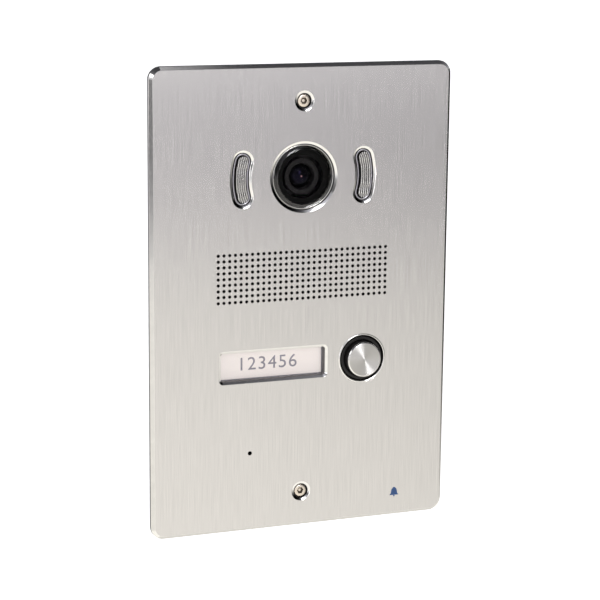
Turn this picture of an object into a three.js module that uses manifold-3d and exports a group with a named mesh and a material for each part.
// Flush-mounted video door intercom panel, as it comes apart on a bench: a brushed metal
// faceplate, the pieces seen through its openings, and the camera, speaker, button and boards
// held behind it in a plastic cover.
//
// Millimetres. X runs to the right as a visitor sees the panel, Y runs back into the wall and
// Z runs up. The origin is the middle of the faceplate's rear face, which seats on the wall.

import * as THREE from "three";
import { mergeVertices } from "three/addons/utils/BufferGeometryUtils.js";
import Module from "manifold-3d";

const wasm = await Module();
wasm.setup();

// ---------------------------------------------------------------- driving dimensions

const GAP = 0.3; // clearance left between pieces that touch
const ROUND = 24; // sides of a turned piece
const SMALL_ROUND = 12; // sides of a small turned piece, such as a screw

const PLATE_WIDTH = 120;
const PLATE_HEIGHT = 178.5;
const PLATE_THICKNESS = 3;
const PLATE_CORNER = 5;
const PLATE_CHAMFER = 1.35;
const CUT_CHAMFER = 0.9; // polished 45 degree edge round every opening
const FRONT = -PLATE_THICKNESS; // y of the faceplate's front face

const SCREW_Z = 75.45; // the two mounting screws sit this far above and below the middle
const SCREW_HEAD_RADIUS = 2.6;
const SCREW_SHANK_RADIUS = 1.5;
const SCREW_LENGTH = 20; // reach behind the faceplate
const SCREW_SEAT_Y = -0.8; // floor of the counterbore
const M3_CLEARANCE_RADIUS = 1.8;

const CAMERA_Z = 46.9;
const CAMERA_HOLE_RADIUS = 12.55;
const WINDOW_FACE_RADIUS = 10.5;
const WINDOW_THICKNESS = 1.2;
const WINDOW_FLANGE_RADIUS = 15.5;
const MASK_BORE_RADIUS = 8.1;
const LENS_RADIUS = 6.75;
const LENS_THREAD_RADIUS = 5.9;
const LENS_FRONT_Y = -0.6;
const LENS_REAR_Y = 11;
const PIVOT_Y = 7.5; // the camera's pan and tilt axes cross here
const PIVOT_PIN_RADIUS = 1.5;
const HOLDER_HALF = 8;
const HOLDER_FRONT_Y = 5.8;
const HOLDER_REAR_Y = 15.4;
const PAN_RING_INNER = 9.2;
const PAN_RING_OUTER = 11.4;
const PAN_RING_HALF_DEPTH = 1.5;
const PAN_RING_CORNER_RADIUS = 12.5;
const BRACKET_INNER_RADIUS = 13.1;
const BRACKET_OUTER_RADIUS = 16;

const LAMP_SPINE_RADIUS = 25; // the lamp slots curve round the camera's centre
const LAMP_HALF_ANGLE = THREE.MathUtils.degToRad(15.5);
const LAMP_HALF_WIDTH = 3.3;
const LED_SPACING_ANGLE = THREE.MathUtils.degToRad(10);

const GRILLE_Z = 9.7;
const GRILLE_COLUMNS = 31;
const GRILLE_ROWS = 9;
const GRILLE_PITCH = 2.25;
const GRILLE_HOLE_WIDTH = 1.06; // square holes with the open area of 1.2 mm round ones
const SPEAKER_RADIUS = 18;

const MICROPHONE_X = -21;
const MICROPHONE_Z = -58.4;
const MICROPHONE_HOLE_RADIUS = 0.8;

const NAME_X = -11.5;
const NAME_Z = -24.4;
const NAME_WIDTH = 42;
const NAME_HEIGHT = 11;

const BUTTON_X = 24.65;
const BUTTON_Z = -24.5;
const BUTTON_HOLE_RADIUS = 8.75;
const BUTTON_FACE_RADIUS = 6.8;
const BUTTON_FACE_Y = -6; // front of the button, 3 mm proud of the faceplate
const BUTTON_TRAVEL = 1.2;
const BUTTON_STEM_END_Y = 6.7;
const SPRING_RADIUS = 5.8;
const SPRING_WIRE_RADIUS = 0.4;
const SPRING_TURNS = 4;

const COVER_WIDTH = 92;
const COVER_HEIGHT = 138;
const COVER_REAR_Y = 22.5;
const COVER_WALL = 2;
const STANDOFF_X = 40;
const STANDOFF_Z = 62;

const BOARD_FRONT_Y = 12;
const BOARD_THICKNESS = 1.6;
const BOARD_WIDTH = 76;
const BOARD_TOP_Z = 25;
const BOARD_BOTTOM_Z = -58;
const BOARD_HOLES = [[-33, 20], [33, 20], [-33, -53], [33, -53]];
const BOARD_REAR_Y = BOARD_FRONT_Y + BOARD_THICKNESS;

const TERMINAL_Z = -40;
const TERMINAL_PITCH = 5.08;
const TERMINAL_WAYS = 5;
const TERMINAL_HEIGHT = 10;
const TERMINAL_REAR_Y = 20;
const TERMINAL_WINDOW = { width: 30, bottom: -53, top: -33 };

const TRIMMER_X = 28;
const TRIMMER_Z = 5;
const TRIMMER_ROTOR_RADIUS = 2;
const TRIMMER_REAR_Y = 18.5;

// ---------------------------------------------------------------- outlines, as [x, z] points

function arc(x, z, radius, from, to, steps) {
  const points = [];
  for (let step = 0; step <= steps; step += 1) {
    const angle = from + ((to - from) * step) / steps;
    points.push([x + radius * Math.cos(angle), z + radius * Math.sin(angle)]);
  }
  return points;
}

function circle(radius, sides = ROUND) {
  return arc(0, 0, radius, 0, 2 * Math.PI, sides).slice(0, -1);
}

function rectangle(width, height) {
  const x = width / 2;
  const z = height / 2;
  return [[-x, -z], [x, -z], [x, z], [-x, z]];
}

function roundedRectangle(width, height, radius, steps = 4) {
  const x = width / 2 - radius;
  const z = height / 2 - radius;
  const quarter = Math.PI / 2;
  return [
    ...arc(x, -z, radius, -quarter, 0, steps),
    ...arc(x, z, radius, 0, quarter, steps),
    ...arc(-x, z, radius, quarter, 2 * quarter, steps),
    ...arc(-x, -z, radius, 2 * quarter, 3 * quarter, steps),
  ];
}

// A slot with round ends that follows a circle round the camera; side is 1 right, -1 left.
function lampOutline(side, halfWidth, sideSteps = 6, endSteps = 5) {
  const middle = side > 0 ? 0 : Math.PI;
  const start = middle - LAMP_HALF_ANGLE;
  const end = middle + LAMP_HALF_ANGLE;
  const spine = LAMP_SPINE_RADIUS;
  const startX = spine * Math.cos(start);
  const startZ = spine * Math.sin(start);
  const endX = spine * Math.cos(end);
  const endZ = spine * Math.sin(end);
  return [
    ...arc(0, 0, spine + halfWidth, start, end, sideSteps),
    ...arc(endX, endZ, halfWidth, end, end + Math.PI, endSteps).slice(1),
    ...arc(0, 0, spine - halfWidth, end, start, sideSteps).slice(1),
    ...arc(startX, startZ, halfWidth, start - Math.PI, start, endSteps).slice(1, -1),
  ];
}

function shifted(outline, x, z) {
  return outline.map(([px, pz]) => [px + x, pz + z]);
}

// ---------------------------------------------------------------- solids

function toShape(outline) {
  return new THREE.Shape(outline.map(([x, z]) => new THREE.Vector2(x, z)));
}

function solid(geometry) {
  const bare = geometry.clone();
  bare.deleteAttribute("normal");
  bare.deleteAttribute("uv");
  const merged = mergeVertices(bare);
  const index = merged.index.array;
  const triangles = [];
  for (let i = 0; i < index.length; i += 3) {
    const [a, b, c] = index.slice(i, i + 3);
    if (a !== b && b !== c && c !== a) triangles.push(a, b, c);
  }
  const vertProperties = new Float32Array(merged.attributes.position.array);
  const triVerts = new Uint32Array(triangles);
  return new wasm.Manifold(new wasm.Mesh({ numProp: 3, vertProperties, triVerts }));
}

function union(...solids) {
  return solids.reduce((sum, next) => sum.add(next));
}

// One or more outlines extruded along Y, from the front face to the back face.
function slab(outlines, front, back) {
  const list = Array.isArray(outlines[0][0]) ? outlines : [outlines];
  const depth = back - front;
  const geometry = new THREE.ExtrudeGeometry(list.map(toShape), { depth, bevelEnabled: false });
  geometry.rotateX(Math.PI / 2);
  geometry.translate(0, back, 0);
  return solid(geometry);
}

// A profile of [radius, y] points turned round the Y axis.
function turned(profile, sides = ROUND) {
  const points = profile.map(([radius, y]) => new THREE.Vector2(radius, y));
  return solid(new THREE.LatheGeometry(points, sides));
}

// A profile that doesn't reach the axis is closed on itself, as a ring.
function turnedRing(profile, sides = ROUND) {
  return turned([...profile, profile[0]], sides);
}

function block(width, front, back, height) {
  return slab(rectangle(width, height), front, back);
}

function rodAlongX(radius, length, y, sides = SMALL_ROUND) {
  const rod = new THREE.CylinderGeometry(radius, radius, length, sides);
  rod.rotateZ(Math.PI / 2);
  rod.translate(0, y, 0);
  return solid(rod);
}

function rodAlongZ(radius, from, to, y, sides = SMALL_ROUND) {
  const rod = new THREE.CylinderGeometry(radius, radius, to - from, sides);
  rod.rotateX(Math.PI / 2);
  rod.translate(0, y, (from + to) / 2);
  return solid(rod);
}

// ---------------------------------------------------------------- meshes

function finish(color, roughness, metalness = 0) {
  return new THREE.MeshStandardMaterial({ color, roughness, metalness });
}

const FINISH = {
  plate: () => finish(0xbab7b3, 0.35, 1),
  steel: () => finish(0xb8ad9c, 0.3, 1),
  brass: () => finish(0xb08d4c, 0.35, 1),
  spunMetal: () => finish(0xcfcbc6, 0.25, 1),
  clear: () => finish(0xe6ebed, 0.05),
  glass: () => finish(0x1c1e33, 0.02),
  blackPlastic: () => finish(0x101011, 0.4),
  greyPlastic: () => finish(0x2b2c2e, 0.5),
  foam: () => finish(0x1a1a1a, 0.95),
  card: () => finish(0xe4dcd9, 0.7),
  milky: () => finish(0xf1f1ec, 0.5),
  board: () => finish(0x1d5a35, 0.45),
  chip: () => finish(0x181a1c, 0.35),
  terminal: () => finish(0x2f8a54, 0.45),
  magnet: () => finish(0x3a3a3d, 0.4, 0.8),
  trimmer: () => finish(0x2a55a0, 0.4),
};

function part(name, body, material) {
  const { numProp, vertProperties, triVerts } = body.getMesh();
  const geometry = new THREE.BufferGeometry();
  geometry.setAttribute("position", new THREE.BufferAttribute(vertProperties, numProp));
  geometry.setIndex(new THREE.BufferAttribute(triVerts, 1));
  geometry.computeVertexNormals();
  const mesh = new THREE.Mesh(geometry, material);
  mesh.name = name;
  return mesh;
}

function assembly(x, z, ...meshes) {
  const group = new THREE.Group();
  group.position.set(x, 0, z);
  group.add(...meshes);
  return group;
}

// ---------------------------------------------------------------- faceplate

// The front end of an opening: its outline, growing at 45 degrees towards the front face.
function flare(outline) {
  const growth = 2 * CUT_CHAMFER;
  const options = { depth: 1, bevelThickness: growth, bevelSize: growth, bevelSegments: 1 };
  const geometry = new THREE.ExtrudeGeometry(toShape(outline), options);
  geometry.rotateX(Math.PI / 2);
  geometry.translate(0, FRONT + CUT_CHAMFER - growth, 0);
  return solid(geometry);
}

function chamferedOpening(outline) {
  return slab(outline, FRONT - 1, 1).add(flare(outline));
}

function counterbore() {
  const seat = circle(SCREW_HEAD_RADIUS + GAP);
  const hole = slab(circle(SCREW_SHANK_RADIUS + 0.2, SMALL_ROUND), FRONT - 1, 1);
  return union(hole, slab(seat, FRONT - 1, SCREW_SEAT_Y), flare(seat));
}

function grilleHoles() {
  const holes = [];
  for (let row = 0; row < GRILLE_ROWS; row += 1) {
    for (let column = 0; column < GRILLE_COLUMNS; column += 1) {
      const x = (column - (GRILLE_COLUMNS - 1) / 2) * GRILLE_PITCH;
      const z = GRILLE_Z + (row - (GRILLE_ROWS - 1) / 2) * GRILLE_PITCH;
      holes.push(shifted(rectangle(GRILLE_HOLE_WIDTH, GRILLE_HOLE_WIDTH), x, z));
    }
  }
  return slab(holes, FRONT - 1, 1);
}

function faceplate() {
  // Both ends of the blank are chamfered, and the rear half is cut away.
  const blank = new THREE.ExtrudeGeometry(
    toShape(roundedRectangle(PLATE_WIDTH, PLATE_HEIGHT, PLATE_CORNER)),
    {
      depth: 2 * (PLATE_THICKNESS - PLATE_CHAMFER),
      bevelThickness: PLATE_CHAMFER,
      bevelSize: PLATE_CHAMFER,
      bevelOffset: -PLATE_CHAMFER,
      bevelSegments: 1,
    },
  );
  blank.rotateX(Math.PI / 2);
  blank.translate(0, PLATE_THICKNESS - PLATE_CHAMFER, 0);
  const rearHalf = block(PLATE_WIDTH + 2, 0, PLATE_THICKNESS + 1, PLATE_HEIGHT + 2);
  const microphoneHole = slab(circle(MICROPHONE_HOLE_RADIUS, SMALL_ROUND), FRONT - 1, 1);
  const nameOpening = roundedRectangle(NAME_WIDTH, NAME_HEIGHT, 0.9);
  const cutters = union(
    rearHalf,
    grilleHoles(),
    microphoneHole.translate([MICROPHONE_X, 0, MICROPHONE_Z]),
    chamferedOpening(circle(CAMERA_HOLE_RADIUS, 32)).translate([0, 0, CAMERA_Z]),
    chamferedOpening(lampOutline(1, LAMP_HALF_WIDTH)).translate([0, 0, CAMERA_Z]),
    chamferedOpening(lampOutline(-1, LAMP_HALF_WIDTH)).translate([0, 0, CAMERA_Z]),
    chamferedOpening(nameOpening).translate([NAME_X, 0, NAME_Z]),
    chamferedOpening(circle(BUTTON_HOLE_RADIUS)).translate([BUTTON_X, 0, BUTTON_Z]),
    counterbore().translate([0, 0, SCREW_Z]),
    counterbore().translate([0, 0, -SCREW_Z]),
  );
  return part("faceplate", solid(blank).subtract(cutters), FINISH.plate());
}

function rearGasket() {
  const outer = slab(roundedRectangle(110, 168.5, 4, 3), GAP, 1.8);
  const inner = slab(roundedRectangle(102, 160.5, 3, 3), 0, 2);
  return part("rear_gasket", outer.subtract(inner), FINISH.foam());
}

function mountingScrew(name) {
  const top = SCREW_SEAT_Y - 1.5;
  const body = turned([
    [0, top],
    [1.5, top],
    [SCREW_HEAD_RADIUS - 0.3, top + 0.4],
    [SCREW_HEAD_RADIUS, SCREW_SEAT_Y - 0.7],
    [SCREW_HEAD_RADIUS, SCREW_SEAT_Y - 0.2],
    [SCREW_SHANK_RADIUS, SCREW_SEAT_Y - 0.2],
    [SCREW_SHANK_RADIUS, SCREW_LENGTH - 0.5],
    [SCREW_SHANK_RADIUS - 0.5, SCREW_LENGTH],
    [0, SCREW_LENGTH],
  ], SMALL_ROUND);
  const hexSocket = slab(circle(1.25, 6), top - 1, top + 1);
  return part(name, body.subtract(hexSocket), FINISH.steel());
}

// ---------------------------------------------------------------- camera

// The moulded window: a bevelled cap through the faceplate, with a flange behind it.
function cameraWindow() {
  const radius = CAMERA_HOLE_RADIUS - GAP;
  const cavityRadius = radius - 1.35;
  const flangeFront = 1;
  const flangeBack = 2.2;
  const cavityFloor = FRONT + WINDOW_THICKNESS;
  const body = turned([
    [0, FRONT],
    [WINDOW_FACE_RADIUS, FRONT],
    [radius, FRONT + 1],
    [radius, flangeFront],
    [WINDOW_FLANGE_RADIUS, flangeFront],
    [WINDOW_FLANGE_RADIUS, flangeBack],
    [cavityRadius, flangeBack],
    [cavityRadius, cavityFloor],
    [0, cavityFloor],
  ], 32);
  return part("camera_window", body, FINISH.clear());
}

function windowSeal() {
  const inner = CAMERA_HOLE_RADIUS + GAP;
  const outer = WINDOW_FLANGE_RADIUS - 0.1;
  const body = turnedRing([[inner, 0.2], [outer, 0.2], [outer, 0.8], [inner, 0.8]]);
  return part("window_seal", body, FINISH.foam());
}

function cameraMask() {
  const radius = CAMERA_HOLE_RADIUS - GAP - 1.35 - GAP;
  const body = turnedRing([
    [MASK_BORE_RADIUS, -1.5],
    [radius, -1.5],
    [radius, 2.5],
    [WINDOW_FLANGE_RADIUS - GAP, 2.5],
    [WINDOW_FLANGE_RADIUS - GAP, 3.6],
    [9.6, 3.6],
    [MASK_BORE_RADIUS, -0.3],
  ]);
  return part("camera_mask", body, FINISH.blackPlastic());
}

// The fixed ring behind the mask, with two posts that carry the pan pins.
function cameraBracket() {
  const front = 3.9;
  const ring = slab(circle(BRACKET_OUTER_RADIUS), front, front + 1.2)
    .subtract(slab(circle(BRACKET_INNER_RADIUS), front - 1, front + 2));
  const postZ = 14.1;
  const post = block(6, front, 10.5, 3);
  const pinHole = rodAlongZ(PIVOT_PIN_RADIUS + GAP, -20, 20, PIVOT_Y);
  const posts = union(post.translate([0, 0, postZ]), post.translate([0, 0, -postZ]));
  return part("camera_bracket", ring.add(posts).subtract(pinHole), FINISH.greyPlastic());
}

// Turns about Z in the bracket, and carries the lens holder's tilt pins.
function cameraPanRing() {
  const front = PIVOT_Y - PAN_RING_HALF_DEPTH - 0.7;
  const back = PIVOT_Y + PAN_RING_HALF_DEPTH + 0.7;
  // The corners are cut round, so that they stay inside the bracket when the ring pans.
  const frame = block(2 * PAN_RING_OUTER, front, back, 2 * PAN_RING_OUTER)
    .intersect(slab(circle(PAN_RING_CORNER_RADIUS), front, back))
    .subtract(block(2 * PAN_RING_INNER, front - 1, back + 1, 2 * PAN_RING_INNER)
      .intersect(slab(circle(PAN_RING_CORNER_RADIUS - 1.4), front - 1, back + 1)));
  const pinRoot = PAN_RING_OUTER - 1;
  const pinTip = 15;
  const pins = union(
    rodAlongZ(PIVOT_PIN_RADIUS, pinRoot, pinTip, PIVOT_Y),
    rodAlongZ(PIVOT_PIN_RADIUS, -pinTip, -pinRoot, PIVOT_Y),
  );
  const tiltHoles = rodAlongX(PIVOT_PIN_RADIUS + GAP, 30, PIVOT_Y);
  return part("camera_pan_ring", frame.add(pins).subtract(tiltHoles), FINISH.greyPlastic());
}

function lensHolder() {
  const outline = roundedRectangle(2 * HOLDER_HALF, 2 * HOLDER_HALF, 2, 2);
  const tiltPins = rodAlongX(PIVOT_PIN_RADIUS, 2 * (PAN_RING_OUTER - 0.2), PIVOT_Y);
  const bore = slab(circle(LENS_THREAD_RADIUS + GAP), HOLDER_FRONT_Y - 1, HOLDER_REAR_Y + 1);
  const body = slab(outline, HOLDER_FRONT_Y, HOLDER_REAR_Y).add(tiltPins).subtract(bore);
  return part("lens_holder", body, FINISH.blackPlastic());
}

function lensBarrel() {
  const body = turnedRing([
    [5.1, LENS_FRONT_Y],
    [LENS_RADIUS, LENS_FRONT_Y],
    [LENS_RADIUS, HOLDER_FRONT_Y - 1.2],
    [LENS_THREAD_RADIUS, HOLDER_FRONT_Y - 0.6],
    [LENS_THREAD_RADIUS, LENS_REAR_Y],
    [4.2, LENS_REAR_Y],
    [4.2, 3.1],
    [4.8, 3.1],
    [4.8, 0.2],
  ]);
  return part("lens_barrel", body, FINISH.blackPlastic());
}

function lensGlass() {
  const body = turned([[0, 0], [2.4, 0.3], [4.5, 1.2], [4.5, 2.8], [0, 2.8]]);
  return part("lens_glass", body, FINISH.glass());
}

function imageSensor() {
  const front = HOLDER_REAR_Y - 1.2;
  return part("image_sensor", block(6, front, HOLDER_REAR_Y, 6), FINISH.chip());
}

function cameraBoard() {
  const front = HOLDER_REAR_Y + GAP;
  return part("camera_board", block(20, front, front + BOARD_THICKNESS, 20), FINISH.board());
}

// ---------------------------------------------------------------- night lamps

function lampWindow(name, side) {
  const flange = slab(lampOutline(side, 5.2), GAP, 1.5);
  const base = slab(lampOutline(side, LAMP_HALF_WIDTH - GAP), -1.6, 1);
  const island = slab(lampOutline(side, 2), FRONT - 0.4, -1);
  return part(name, union(flange, base, island), FINISH.clear());
}

function lampBoard(name, side) {
  return part(name, slab(lampOutline(side, 4.5), 7.2, 8.4), FINISH.board());
}

function lampLed(name, angle) {
  const body = turned([
    [0, 2.6], [0.9, 2.9], [1.5, 3.8], [1.5, 6.1], [1.9, 6.1], [1.9, 6.9], [0, 6.9],
  ], SMALL_ROUND);
  const led = part(name, body, FINISH.clear());
  led.position.set(LAMP_SPINE_RADIUS * Math.cos(angle), 0, LAMP_SPINE_RADIUS * Math.sin(angle));
  return led;
}

function lamp(sideName, side) {
  const middle = side > 0 ? 0 : Math.PI;
  const leds = [1, 0, -1].map((step, i) => (
    lampLed(`ir_led_${sideName}_${i + 1}`, middle + side * step * LED_SPACING_ANGLE)
  ));
  return [
    lampWindow(`ir_window_${sideName}`, side),
    lampBoard(`ir_board_${sideName}`, side),
    ...leds,
  ];
}

// ---------------------------------------------------------------- speaker and microphone

function grilleCloth() {
  return part("grille_cloth", block(74, GAP, 0.6, 23), FINISH.foam());
}

function speakerSeal() {
  const inner = SPEAKER_RADIUS - 2.2;
  const body = turnedRing([
    [inner, 0.9], [SPEAKER_RADIUS, 0.9], [SPEAKER_RADIUS, 1.9], [inner, 1.9],
  ]);
  return part("speaker_seal", body, FINISH.foam());
}

function speakerBasket() {
  const body = turnedRing([
    [SPEAKER_RADIUS - 2, 2.2],
    [SPEAKER_RADIUS, 2.2],
    [SPEAKER_RADIUS, 3.4],
    [SPEAKER_RADIUS - 1.4, 3.6],
    [11.2, 7.2],
    [6, 7.2],
    [6, 6.4],
    [10.9, 6.4],
    [SPEAKER_RADIUS - 2, 3],
  ]);
  return part("speaker_basket", body, FINISH.steel());
}

function speakerCone() {
  const body = turned([[0, 2.3], [5, 3.6], [15.4, 2.2], [15.4, 2.6], [5, 4.1], [0, 2.8]]);
  return part("speaker_cone", body, FINISH.milky());
}

function voiceCoil() {
  const body = turnedRing([[4.2, 4.6], [4.8, 4.6], [4.8, 7], [4.2, 7]], SMALL_ROUND);
  return part("voice_coil", body, FINISH.brass());
}

function speakerMagnet() {
  return part("speaker_magnet", slab(circle(9), 7.5, 11.4), FINISH.magnet());
}

function microphoneBoot() {
  const body = turnedRing([
    [MICROPHONE_HOLE_RADIUS, GAP], [5, GAP], [5, 5.5], [3.3, 5.5], [3.3, 1.5],
    [MICROPHONE_HOLE_RADIUS, 1.5],
  ], SMALL_ROUND);
  return part("microphone_boot", body, FINISH.foam());
}

function microphoneCapsule() {
  return part("microphone_capsule", slab(circle(3, SMALL_ROUND), 1.8, 4.6), FINISH.steel());
}

// ---------------------------------------------------------------- nameplate

function nameplateWindow() {
  return part("nameplate_window", block(45, GAP, 1.2, 14), FINISH.clear());
}

function nameCard() {
  return part("name_card", block(44.4, 1.5, 1.8, 13.4), FINISH.card());
}

function lightGuide() {
  return part("light_guide", block(44.4, 2.1, 5.4, 13.4), FINISH.milky());
}

function nameplateTray() {
  const outer = slab(roundedRectangle(50, 19, 2, 2), GAP, 7);
  const cavity = block(45.6, -1, 5.8, 14.6);
  const lightHole = block(7, 5, 8, 4);
  const body = outer.subtract(
    union(cavity, lightHole.translate([12, 0, 0]), lightHole.translate([-12, 0, 0])),
  );
  return part("nameplate_tray", body, FINISH.blackPlastic());
}

function nameplateLed(name, x) {
  const led = part(name, block(3.5, 9.6, BOARD_FRONT_Y - GAP, 2.8), FINISH.milky());
  led.position.x = x;
  return led;
}

// ---------------------------------------------------------------- call button

// A tube through the faceplate. Its front lip keeps the plunger in, and the spring stands on
// its floor.
function buttonHousing() {
  const radius = BUTTON_HOLE_RADIUS - GAP;
  const lipRadius = 7.2;
  const boreRadius = 8.1;
  const body = turnedRing([
    [lipRadius, FRONT + 0.4],
    [radius, FRONT + 0.4],
    [radius, GAP],
    [10.3, GAP],
    [10.3, 1.8],
    [9.2, 1.8],
    [9.2, 10.8],
    [4.6, 10.8],
    [4.6, 9.7],
    [boreRadius, 9.7],
    [boreRadius, 1.5],
    [lipRadius, 1.5],
  ]);
  return part("button_housing", body, FINISH.blackPlastic());
}

function buttonPlunger() {
  const radius = BUTTON_FACE_RADIUS + 0.1;
  const body = turned([
    [0, BUTTON_FACE_Y + 1.1],
    [radius, BUTTON_FACE_Y + 1.1],
    [radius, 1.8],
    [7.7, 1.8],
    [7.7, 3],
    [2, 3],
    [2, BUTTON_STEM_END_Y],
    [0, BUTTON_STEM_END_Y],
  ]);
  return part("button_plunger", body, FINISH.blackPlastic());
}

function buttonFace() {
  const back = BUTTON_FACE_Y + 0.8;
  const edge = 0.35;
  const body = turned([
    [0, BUTTON_FACE_Y],
    [BUTTON_FACE_RADIUS - edge, BUTTON_FACE_Y],
    [BUTTON_FACE_RADIUS, BUTTON_FACE_Y + edge],
    [BUTTON_FACE_RADIUS, back],
    [0, back],
  ], 32);
  return part("button_face", body, FINISH.spunMetal());
}

class Helix extends THREE.Curve {
  constructor(radius, turns, from, to) {
    super();
    Object.assign(this, { radius, turns, from, to });
  }

  getPoint(t) {
    const angle = 2 * Math.PI * this.turns * t;
    const y = this.from + (this.to - this.from) * t;
    return new THREE.Vector3(this.radius * Math.cos(angle), y, this.radius * Math.sin(angle));
  }
}

function buttonSpring() {
  const rest = GAP + SPRING_WIRE_RADIUS;
  const path = new Helix(SPRING_RADIUS, SPRING_TURNS, 3 + rest, 9.7 - rest);
  const wire = toShape(circle(SPRING_WIRE_RADIUS, 5));
  const options = { steps: 12 * SPRING_TURNS, extrudePath: path };
  return part("button_spring", solid(new THREE.ExtrudeGeometry(wire, options)), FINISH.steel());
}

function switchBody() {
  const front = BUTTON_STEM_END_Y + 1.9;
  const bore = slab(circle(1.9, SMALL_ROUND), front - 1, 11);
  const body = block(6, front, BOARD_FRONT_Y - GAP, 6).subtract(bore);
  return part("switch_body", body, FINISH.chip());
}

function switchPlunger() {
  const front = BUTTON_STEM_END_Y + GAP;
  const back = 10.7 - BUTTON_TRAVEL;
  return part("switch_plunger", slab(circle(1.6, SMALL_ROUND), front, back), FINISH.steel());
}

// ---------------------------------------------------------------- boards and connections

function mainBoard() {
  const height = BOARD_TOP_Z - BOARD_BOTTOM_Z;
  const middle = (BOARD_TOP_Z + BOARD_BOTTOM_Z) / 2;
  const hole = slab(circle(1.5, SMALL_ROUND), BOARD_FRONT_Y - 1, BOARD_REAR_Y + 1);
  const holes = BOARD_HOLES.map(([x, z]) => hole.translate([x, 0, z]));
  const body = block(BOARD_WIDTH, BOARD_FRONT_Y, BOARD_REAR_Y, height)
    .translate([0, 0, middle])
    .subtract(union(...holes));
  return part("main_board", body, FINISH.board());
}

function panHeadScrew(name, headRadius, headHeight, shankRadius, shankLength) {
  const body = turned([
    [0, 0],
    [shankRadius, 0],
    [shankRadius, shankLength],
    [headRadius, shankLength],
    [headRadius, shankLength + 0.6 * headHeight],
    [0.7 * headRadius, shankLength + headHeight],
    [0, shankLength + headHeight],
  ], SMALL_ROUND);
  return part(name, body, FINISH.steel());
}

function boardScrew(name, [x, z]) {
  const screw = panHeadScrew(name, 2.6, 1.5, 1.1, 5.3);
  // Driven from the front: the head lies on the board and the tip points back.
  screw.rotation.z = Math.PI;
  screw.position.set(x, BOARD_FRONT_Y - GAP + 5.3, z);
  return screw;
}

// Screws are turned from behind, and wires go in from below.
function terminalBlock() {
  const width = TERMINAL_PITCH * TERMINAL_WAYS;
  const front = BOARD_REAR_Y + GAP;
  const wells = [];
  for (let way = 0; way < TERMINAL_WAYS; way += 1) {
    const x = (way - (TERMINAL_WAYS - 1) / 2) * TERMINAL_PITCH;
    const screwWell = slab(circle(1.7, SMALL_ROUND), TERMINAL_REAR_Y - 1.5, TERMINAL_REAR_Y + 1);
    const wireEntry = block(3.4, front + 1, front + 4.2, 6);
    wells.push(screwWell.translate([x, 0, 0]));
    wells.push(wireEntry.translate([x, 0, -TERMINAL_HEIGHT / 2]));
  }
  const body = block(width, front, TERMINAL_REAR_Y, TERMINAL_HEIGHT).subtract(union(...wells));
  return part("terminal_block", body, FINISH.terminal());
}

function trimmerBody() {
  const bore = slab(circle(TRIMMER_ROTOR_RADIUS + GAP, SMALL_ROUND), 15, TRIMMER_REAR_Y + 1);
  const body = block(6.5, BOARD_REAR_Y + GAP, TRIMMER_REAR_Y, 6.5).subtract(bore);
  return part("trimmer_body", body, FINISH.trimmer());
}

function trimmerRotor() {
  const rear = TRIMMER_REAR_Y + 0.5;
  const disc = slab(circle(TRIMMER_ROTOR_RADIUS, SMALL_ROUND), 15.4, rear);
  const slot = block(3, rear - 0.8, rear + 1, 0.7);
  return part("trimmer_rotor", disc.subtract(slot), FINISH.milky());
}

// ---------------------------------------------------------------- rear cover

const STANDOFFS = [
  ["top_left", -STANDOFF_X, STANDOFF_Z],
  ["top_right", STANDOFF_X, STANDOFF_Z],
  ["bottom_left", -STANDOFF_X, -STANDOFF_Z],
  ["bottom_right", STANDOFF_X, -STANDOFF_Z],
];
const COVER_FLOOR_Y = COVER_REAR_Y - COVER_WALL; // inner face of the rear wall

function rearCover() {
  const inset = 2 * COVER_WALL;
  const outer = slab(roundedRectangle(COVER_WIDTH, COVER_HEIGHT, 6), GAP, COVER_REAR_Y);
  const inside = roundedRectangle(COVER_WIDTH - inset, COVER_HEIGHT - inset, 4);
  const cavity = slab(inside, -1, COVER_FLOOR_Y);
  const post = slab(circle(3, SMALL_ROUND), BOARD_REAR_Y + GAP, COVER_FLOOR_Y + 1);
  const posts = BOARD_HOLES.map(([x, z]) => post.translate([x, 0, z]));
  const postHole = slab(circle(1.4, SMALL_ROUND), BOARD_REAR_Y, COVER_FLOOR_Y);
  const window = TERMINAL_WINDOW;
  const windowHeight = window.top - window.bottom;
  const terminalWindow = slab(
    shifted(roundedRectangle(window.width, windowHeight, 2, 2), 0, window.bottom + windowHeight / 2),
    COVER_FLOOR_Y - 1,
    COVER_REAR_Y + 1,
  );
  const trimmerHole = slab(circle(3.5, SMALL_ROUND), COVER_FLOOR_Y - 1, COVER_REAR_Y + 1);
  const screwHole = slab(circle(M3_CLEARANCE_RADIUS, SMALL_ROUND), COVER_FLOOR_Y - 1, COVER_REAR_Y + 1);
  const body = union(outer.subtract(cavity), ...posts).subtract(union(
    terminalWindow,
    trimmerHole.translate([TRIMMER_X, 0, TRIMMER_Z]),
    ...BOARD_HOLES.map(([x, z]) => postHole.translate([x, 0, z])),
    ...STANDOFFS.map(([, x, z]) => screwHole.translate([x, 0, z])),
  ));
  return part("rear_cover", body, FINISH.blackPlastic());
}

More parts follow.
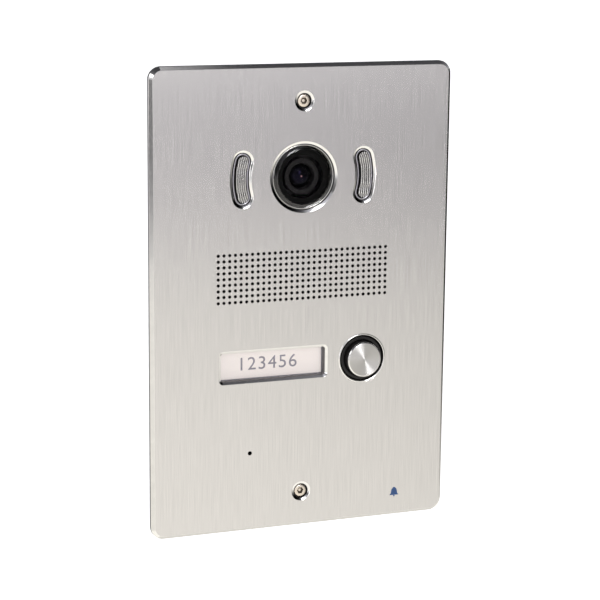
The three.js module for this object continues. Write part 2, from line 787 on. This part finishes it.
function standoff(corner, x, z) {
  const back = COVER_FLOOR_Y - GAP;
  const bore = slab(circle(M3_CLEARANCE_RADIUS, SMALL_ROUND), back - 6, back + 1);
  const piece = part(`standoff_${corner}`, slab(circle(3.2, 6), GAP, back).subtract(bore),
    FINISH.brass());
  piece.position.set(x, 0, z);
  return piece;
}

function coverScrew(corner, x, z) {
  const reach = 7.6;
  const screw = panHeadScrew(`cover_screw_${corner}`, 2.8, 1.8, SCREW_SHANK_RADIUS, reach);
  screw.position.set(x, COVER_REAR_Y + GAP - reach, z);
  return screw;
}

// ---------------------------------------------------------------- the panel

const panel = new THREE.Group();
panel.add(
  faceplate(),
  rearGasket(),
  assembly(0, SCREW_Z, mountingScrew("mounting_screw_top")),
  assembly(0, -SCREW_Z, mountingScrew("mounting_screw_bottom")),
  assembly(
    0, CAMERA_Z,
    windowSeal(), cameraWindow(), cameraMask(), cameraBracket(), cameraPanRing(),
    lensHolder(), lensBarrel(), lensGlass(), imageSensor(), cameraBoard(),
    ...lamp("left", -1),
    ...lamp("right", 1),
  ),
  assembly(
    0, GRILLE_Z,
    grilleCloth(), speakerSeal(), speakerBasket(), speakerCone(), voiceCoil(), speakerMagnet(),
  ),
  assembly(MICROPHONE_X, MICROPHONE_Z, microphoneBoot(), microphoneCapsule()),
  assembly(
    NAME_X, NAME_Z,
    nameplateWindow(), nameCard(), lightGuide(), nameplateTray(),
    nameplateLed("nameplate_led_left", -12), nameplateLed("nameplate_led_right", 12),
  ),
  assembly(
    BUTTON_X, BUTTON_Z,
    buttonHousing(), buttonPlunger(), buttonFace(), buttonSpring(), switchBody(),
    switchPlunger(),
  ),
  mainBoard(),
  boardScrew("board_screw_upper", BOARD_HOLES[0]),
  boardScrew("board_screw_lower", BOARD_HOLES[3]),
  assembly(0, TERMINAL_Z, terminalBlock()),
  assembly(TRIMMER_X, TRIMMER_Z, trimmerBody(), trimmerRotor()),
  rearCover(),
);
for (const [corner, x, z] of STANDOFFS) {
  panel.add(standoff(corner, x, z), coverScrew(corner, x, z));
}

export default panel;
